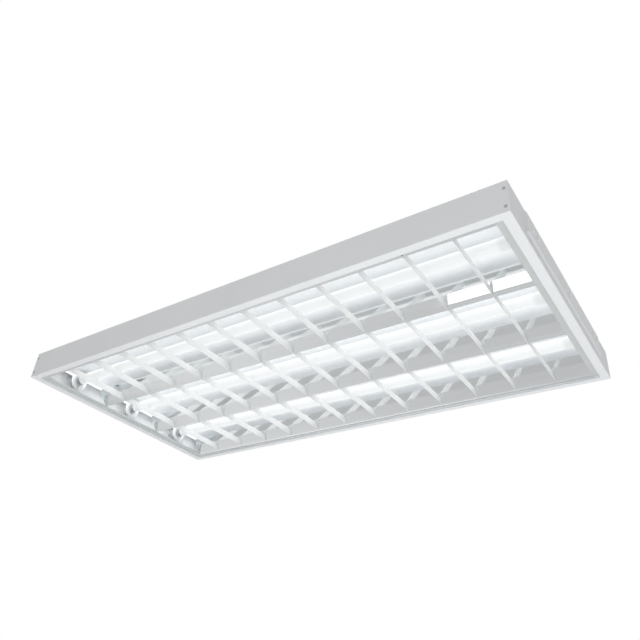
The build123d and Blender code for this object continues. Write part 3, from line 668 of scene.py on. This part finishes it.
board, tree, place, output = start_material("glass_epoxy_board")
tracks = add_node(
    tree,
    "ShaderNodeTexBrick",
    {
        "Vector": place,
        "Color1": linear(MASK_GREEN),
        "Color2": linear(MASK_PALE),
        "Mortar": linear(MASK_OVER_TRACK),
        "Scale": TRACKS_PER_METRE,
        "Mortar Size": TRACK_WIDTH,
    },
)
shader = add_node(
    tree,
    "ShaderNodeBsdfPrincipled",
    {"Base Color": tracks.outputs["Color"], "Roughness": BOARD_ROUGHNESS},
)
tree.links.new(shader.outputs[0], output.inputs[0])
dress("gear_circuit_board", board)

# ---------------------------------------------------------------- mains connection
# A three-pole terminal block in the lampholders' white plastic, with a brass earth screw beside
# it. The inlet has a pressed-in grommet of black rubber, matt and a little dusty.
RUBBER_BLACK = "#262626"
RUBBER_DUST = "#343434"
RUBBER_GRAIN = 0.003
RUBBER_ROUGHNESS = 0.7

dress("mains_terminal", holder_plastic)
dress("earth_screw", brass)
rubber = mottled_finish(
    "black_rubber", RUBBER_BLACK, RUBBER_DUST, RUBBER_GRAIN, RUBBER_ROUGHNESS, detail=3.0
)
dress("cable_grommet", rubber)

# ---------------------------------------------------------------- internal leads
# Flat looms from the gear to the lampholders and short leads to the terminal block, in a smooth
# extruded PVC sheath of greyish white. Clips press the looms to the tray.
SHEATH_WHITE = "#DCDCD8"
SHEATH_SHADE = "#D0D0CB"
SHEATH_FLOW = 0.010
SHEATH_ROUGHNESS = 0.45

sheath = mottled_finish("pvc_sheath", SHEATH_WHITE, SHEATH_SHADE, SHEATH_FLOW, SHEATH_ROUGHNESS)
for name in ("wiring_loom_left", "wiring_loom_right", "mains_leads"):
    dress(name, sheath)

# ---------------------------------------------------------------- floor
# A plain pale matt floor, far enough below the hanging light to take a soft shadow. It is made
# paler to the camera, and very slightly in gloss and glass, which leaves its own light on the
# object as it is.
FLOOR_DROP = 2.0
FLOOR_HALF = 8.0
FLOOR_MATT = "#F2F2F2"
FLOOR_PALE = 0.46
FLOOR_PALE_IN_GLOSS = 0.06

floor_maker = bmesh.new()
bmesh.ops.create_grid(
    floor_maker,
    x_segments=1,
    y_segments=1,
    size=FLOOR_HALF,
    matrix=Matrix.Translation((0, 0, -FLOOR_DROP)),
)
floor_paint, tree, place, output = start_material("pale_floor")
path = add_node(tree, "ShaderNodeLightPath")
in_gloss = add_node(
    tree,
    "ShaderNodeMath",
    {0: path.outputs["Is Glossy Ray"], 1: path.outputs["Is Transmission Ray"]},
    operation="MAXIMUM",
)
paler_in_gloss = add_node(
    tree, "ShaderNodeMath", {0: in_gloss.outputs[0], 1: FLOOR_PALE_IN_GLOSS}, operation="MULTIPLY"
)
paleness = add_node(
    tree,
    "ShaderNodeMath",
    {0: path.outputs["Is Camera Ray"], 1: FLOOR_PALE, 2: paler_in_gloss.outputs[0]},
    operation="MULTIPLY_ADD",
)
matt = add_node(tree, "ShaderNodeBsdfDiffuse", {"Color": linear(FLOOR_MATT)})
pale = add_node(tree, "ShaderNodeEmission", {"Strength": paleness.outputs[0]})
shader = add_node(tree, "ShaderNodeAddShader", {0: matt.outputs[0], 1: pale.outputs[0]})
tree.links.new(shader.outputs[0], output.inputs[0])
floor = make_piece("floor", floor_maker, floor_paint)

# ---------------------------------------------------------------- light
# The background is white to the camera and in gloss and glass, and the same world gives a soft
# fill. Soft panels keep every side at a plain level, and three of them light only the parts of
# the floor that the mirrors and lips look at. One small panel shows in the mirrors alone.
WORLD_FILL = 0.355
PANELS = (
    # name, place, aim, width and height, watts
    ("panel_below", (0.6, -0.4, -1.6), (0.1, 0, 0), (2.4, 2.4), 23.8),
    ("panel_front", (1.1, -2.4, -0.2), (0, 0, 0), (2.4, 2.4), 10.0),
    ("panel_above", (0.0, 0.0, 2.2), (0, 0, 0), (2.6, 2.6), 34.0),
    ("panel_on_floor_at_left", (-2.5, -1.6, -0.4), (-2.5, -1.6, -FLOOR_DROP), (1.8, 1.8), 12.0),
    ("panel_on_floor_behind", (-2.8, 4.4, -0.3), (-2.8, 4.4, -FLOOR_DROP), (4.0, 3.0), 66.0),
    ("panel_on_floor_in_front", (-3.0, -6.4, -0.5), (-3.0, -6.4, -FLOOR_DROP), (7.0, 2.6), 19.0),
)
MIRRORED_PANEL = ("small_panel_in_mirror", (0.03, -1.26, -1.6), (0.03, -1.26, 0.0), (0.56, 0.22), 0.50)

world = bpy.data.worlds.new("white_room")
bpy.context.scene.world = world
world.use_nodes = True
tree = world.node_tree
tree.nodes.clear()
path = add_node(tree, "ShaderNodeLightPath")
seen_or_gloss = add_node(
    tree,
    "ShaderNodeMath",
    {0: path.outputs["Is Camera Ray"], 1: path.outputs["Is Glossy Ray"]},
    operation="MAXIMUM",
)
seen = add_node(
    tree,
    "ShaderNodeMath",
    {0: seen_or_gloss.outputs[0], 1: path.outputs["Is Transmission Ray"]},
    operation="MAXIMUM",
)
fill_or_white = add_node(
    tree, "ShaderNodeMapRange", {"Value": seen.outputs[0], "To Min": WORLD_FILL, "To Max": 1.0}
)
background = add_node(
    tree,
    "ShaderNodeBackground",
    {"Color": (1.0, 1.0, 1.0, 1.0), "Strength": fill_or_white.outputs["Result"]},
)
add_node(tree, "ShaderNodeOutputWorld", {"Surface": background.outputs[0]})


def soft_panel(name, place, aim, size, power, mirrored=False):
    """A rectangular soft light at a place, turned to face the aim."""
    light = bpy.data.lights.new(name, "AREA")
    light.shape = "RECTANGLE"
    light.size, light.size_y = size
    light.energy = power
    panel = bpy.data.objects.new(name, light)
    bpy.context.scene.collection.objects.link(panel)
    panel.location = place
    panel.rotation_euler = (Vector(aim) - Vector(place)).to_track_quat("-Z", "Y").to_euler()
    panel.visible_camera = False
    panel.visible_glossy = mirrored


for panel in PANELS:
    soft_panel(*panel)
soft_panel(*MIRRORED_PANEL, mirrored=True)

# The lit lamps' own light, which comes from all round each tube and off the mirrors: strips of
# it side by side just under the top, more of it between the lamps, and one sheet down on the
# blades. Each strip has its near and far edge and its power for a square metre.
GLOW_LENGTH = 1.19
GLOW_HEIGHT = 0.0600
GLOW_UP = (
    (-0.262, -0.165, 0.22),
    (-0.165, -0.118, 0.60),
    (-0.118, -0.052, 0.92),
    (-0.052, 0.062, 0.62),
    (0.062, 0.136, 1.20),
    (0.136, 0.225, 0.66),
    (0.225, 0.306, 0.92),
)
GLOW_DOWN = 2.4
GLOW_DOWN_MIDDLE = 0.02
GLOW_DOWN_WIDTH = 0.54
for number, (near_y, far_y, strength) in enumerate(GLOW_UP, start=1):
    width = far_y - near_y
    place = Vector((0, (near_y + far_y) / 2, GLOW_HEIGHT))
    power = strength * GLOW_LENGTH * width
    soft_panel(
        f"lamp_light_up_{number}", place, place + Vector((0, 0, 1)), (GLOW_LENGTH, width), power
    )
soft_panel(
    "lamp_light_down",
    (0, GLOW_DOWN_MIDDLE, GLOW_HEIGHT),
    (0, GLOW_DOWN_MIDDLE, -1.0),
    (GLOW_LENGTH, GLOW_DOWN_WIDTH),
    GLOW_DOWN,
)

# The same light on the covers at both ends, from upright sheets between the lampholders.
END_GLOW = 2.2
END_GLOW_AT = 0.5905
END_GLOW_LOWEST = 0.010
END_GLOW_HEIGHT = 0.052
END_GAPS = ((-0.280, -0.210), (-0.166, -0.022), (0.022, 0.166), (0.210, 0.280))
for name, side in (("left", -1), ("right", 1)):
    for number, (near_y, far_y) in enumerate(END_GAPS, start=1):
        width = far_y - near_y
        place = Vector(
            (side * END_GLOW_AT, (near_y + far_y) / 2, END_GLOW_LOWEST + END_GLOW_HEIGHT / 2)
        )
        soft_panel(
            f"lamp_light_{name}_{number}",
            place,
            place + Vector((side, 0, 0)),
            (width, END_GLOW_HEIGHT),
            END_GLOW * width * END_GLOW_HEIGHT,
        )

# ---------------------------------------------------------------- camera
# Fitted to the four corners of the face and the box's height, looking up from below at the
# right. Angles are in radians.
FOCAL = 36.171
SENSOR = 36.0
CAMERA_PLACE = Vector((0.83600064, -1.06604752, -0.70760093))
YAW, PITCH, ROLL = -0.64077, 0.57364, 0.0872
NEAREST, FARTHEST = 0.01, 100.0

ahead = Vector((sin(YAW) * cos(PITCH), cos(YAW) * cos(PITCH), sin(PITCH)))
right = ahead.cross(Vector((0, 0, 1))).normalized()
up = right.cross(ahead)
right_rolled = right * cos(ROLL) + up * sin(ROLL)
up_rolled = up * cos(ROLL) - right * sin(ROLL)
camera_data = bpy.data.cameras.new("camera")
camera_data.lens = FOCAL
camera_data.sensor_width = SENSOR
camera_data.clip_start = NEAREST
camera_data.clip_end = FARTHEST
camera = bpy.data.objects.new("camera", camera_data)
bpy.context.scene.collection.objects.link(camera)
turned = Matrix((right_rolled, up_rolled, -ahead)).transposed().to_4x4()
camera.matrix_world = Matrix.Translation(CAMERA_PLACE) @ turned
bpy.context.scene.camera = camera
bpy.context.scene.view_settings.view_transform = "Standard"
